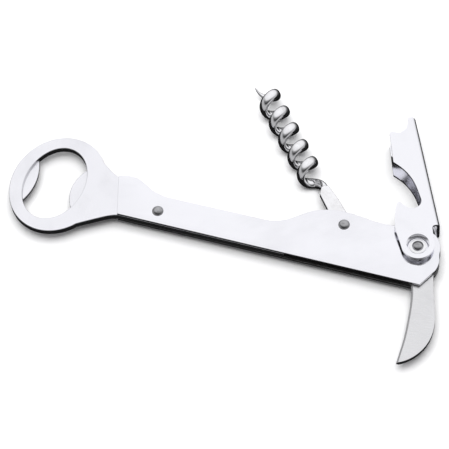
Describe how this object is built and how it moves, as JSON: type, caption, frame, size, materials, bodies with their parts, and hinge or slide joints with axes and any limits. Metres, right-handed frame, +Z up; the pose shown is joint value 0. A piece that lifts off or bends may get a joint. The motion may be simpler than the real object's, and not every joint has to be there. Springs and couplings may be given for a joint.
{
  "type": "lever corkscrew",
  "caption": "Folding lever corkscrew in steel: a slim riveted handle with a ring cap lifter, a wire worm, a foil knife and a hooked channel lever that fold on rivets.",
  "frame": {"origin": "on the surface that the tool lies on, below the centre of its box, with the tool laid flat", "axes": "+X along the handle from the ring towards the pivot nose, +Y to the side on which the worm folds away, +Z up, normal to the side plates"},
  "size_m": [0.1572, 0.0934, 0.0098],
  "materials": {
    "plate_steel": "polished stainless sheet, bright faces with fine drawn lines",
    "ring_steel": "tumbled stainless plate, softly bright",
    "lever_steel": "polished pressed stainless sheet",
    "worm_steel": "bright plated spring wire",
    "blade_steel": "satin ground blade with a bright ground edge",
    "rivet_steel": "dark dull steel, hammered heads",
    "washer_steel": "bright turned washer"
  },
  "bodies": {
    "handle": {"front_side_plate": "plate_steel", "rear_side_plate": "plate_steel", "ring_opener": "ring_steel", "tail_rivet": "rivet_steel", "worm_rivet": "rivet_steel", "main_rivet": "rivet_steel", "front_pivot_washer": "washer_steel", "rear_pivot_washer": "washer_steel", "front_blade_shim": "washer_steel", "rear_blade_shim": "washer_steel"},
    "worm": {"worm": "worm_steel"},
    "knife": {"knife_blade": "blade_steel"},
    "lever": {"bottle_lever": "lever_steel"}
  },
  "joints": [
    {"name": "lever_fold", "type": "hinge", "parent": "handle", "child": "lever", "pos_m": [0.06581, -0.00334, 0.0049], "axis": [0, 0, 1], "range_deg": [-75, 36]},
    {"name": "worm_fold", "type": "hinge", "parent": "handle", "child": "worm", "pos_m": [0.03921, -0.00114, 0.0049], "axis": [0, 0, 1], "range_deg": [0, 46]},
    {"name": "knife_fold", "type": "hinge", "parent": "handle", "child": "knife", "pos_m": [0.06581, -0.00334, 0.0049], "axis": [0, 0, 1], "range_deg": [-84, 25]}
  ]
}
